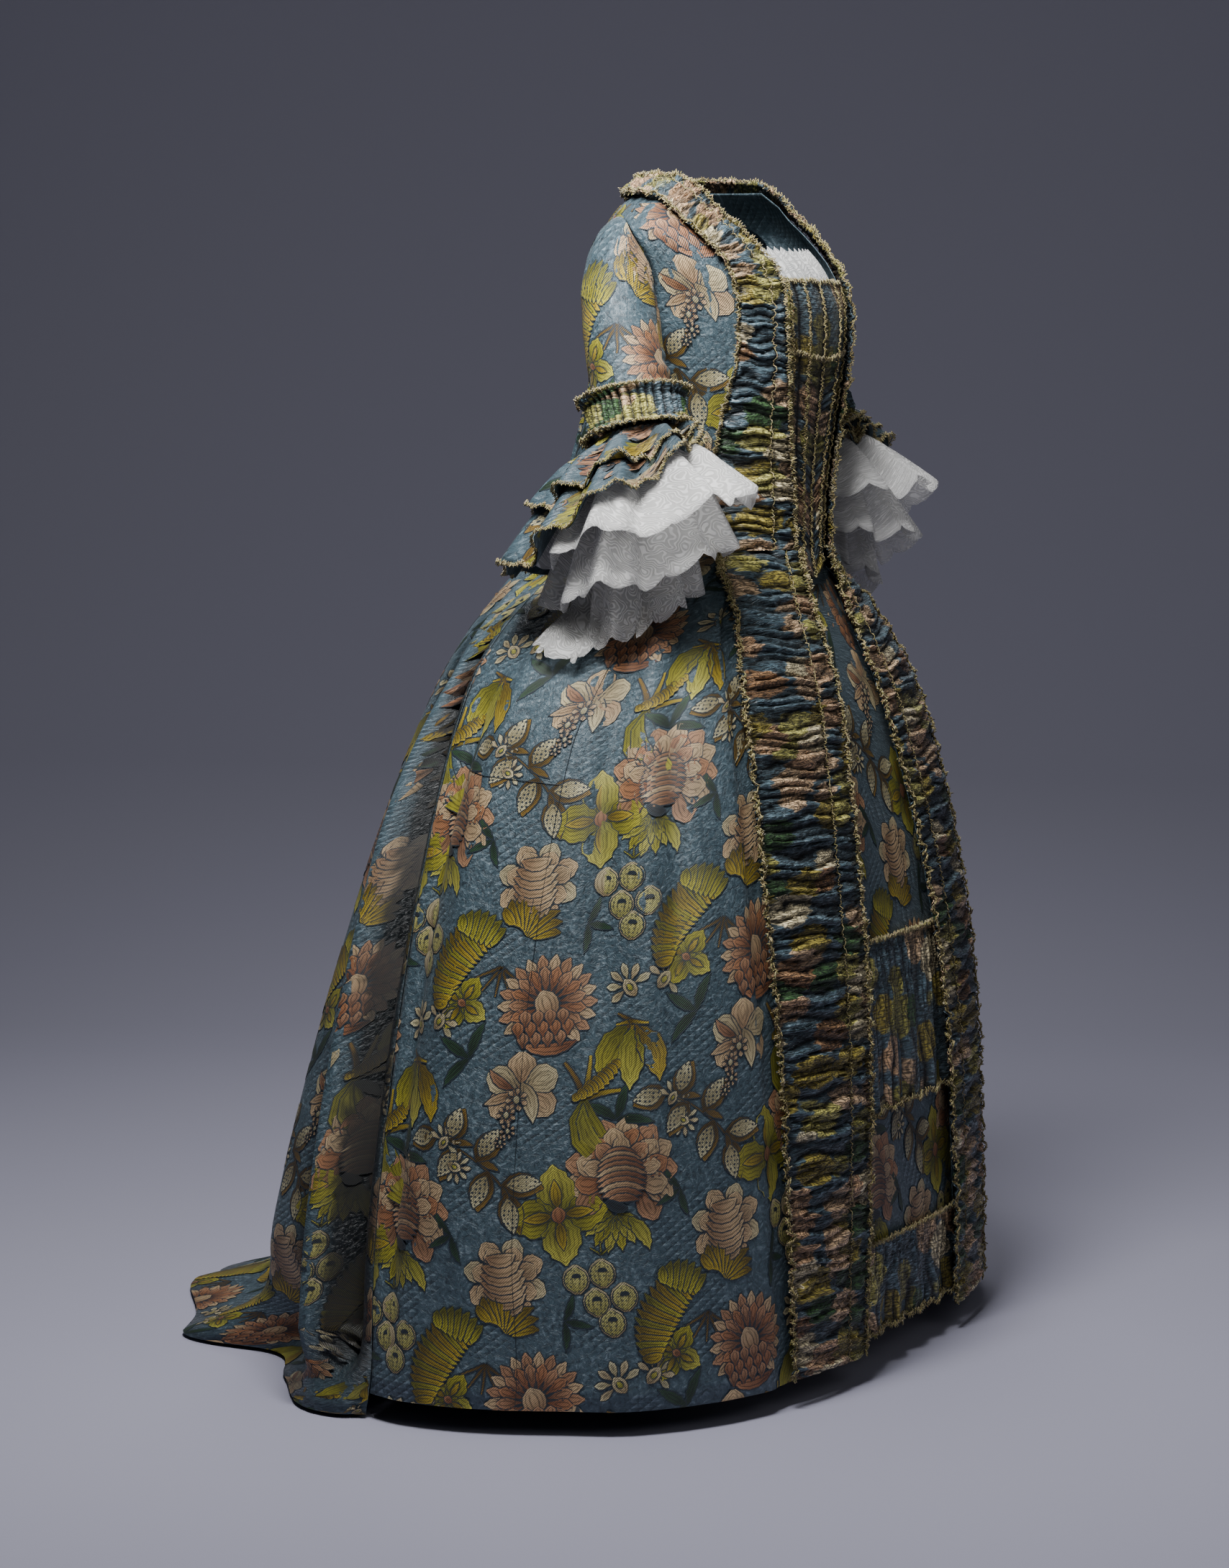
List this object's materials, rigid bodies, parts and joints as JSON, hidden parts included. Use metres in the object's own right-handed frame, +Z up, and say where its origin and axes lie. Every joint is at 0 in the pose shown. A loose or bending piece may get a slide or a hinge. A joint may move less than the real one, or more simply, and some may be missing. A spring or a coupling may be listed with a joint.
{
  "type": "robe a la francaise with stomacher and petticoat",
  "caption": "Sack-backed gown over side hoops, with a ruched front, a gathered petticoat, and elbow sleeves ending in flounces and muslin ruffles.",
  "frame": {"origin": "midway between the wearer's shoulders, where the gown is held, 1.380 m above the floor", "axes": "+Z up, -Y the way the wearer faces, -X the wearer's right side"},
  "size_m": [1.136, 0.9988, 1.4314],
  "materials": {
    "blue_brocade": "figured silk brocade, soft sheen",
    "ruched_brocade": "gathered silk brocade with fly fringe",
    "white_muslin": "embroidered muslin, matt"
  },
  "bodies": {
    "root": {"petticoat_front": "blue_brocade", "sack_back_right": "blue_brocade", "petticoat_side_right": "blue_brocade", "petticoat_back_right": "blue_brocade", "skirt_right": "blue_brocade", "bodice_right": "blue_brocade", "sleeve_right": "blue_brocade", "upper_flounce_right": "blue_brocade", "lower_flounce_right": "blue_brocade", "sack_back_left": "blue_brocade", "petticoat_side_left": "blue_brocade", "petticoat_back_left": "blue_brocade", "skirt_left": "blue_brocade", "bodice_left": "blue_brocade", "sleeve_left": "blue_brocade", "upper_flounce_left": "blue_brocade", "lower_flounce_left": "blue_brocade", "stomacher": "ruched_brocade", "furbelow": "ruched_brocade", "hem_ruffle": "ruched_brocade", "cuff_right": "ruched_brocade", "skirt_robing_right": "ruched_brocade", "robing_right": "ruched_brocade", "cuff_left": "ruched_brocade", "skirt_robing_left": "ruched_brocade", "robing_left": "ruched_brocade", "tucker_frill": "white_muslin", "engageante_upper_right": "white_muslin", "engageante_middle_right": "white_muslin", "engageante_lower_right": "white_muslin", "engageante_upper_left": "white_muslin", "engageante_middle_left": "white_muslin", "engageante_lower_left": "white_muslin"}
  },
  "joints": []
}
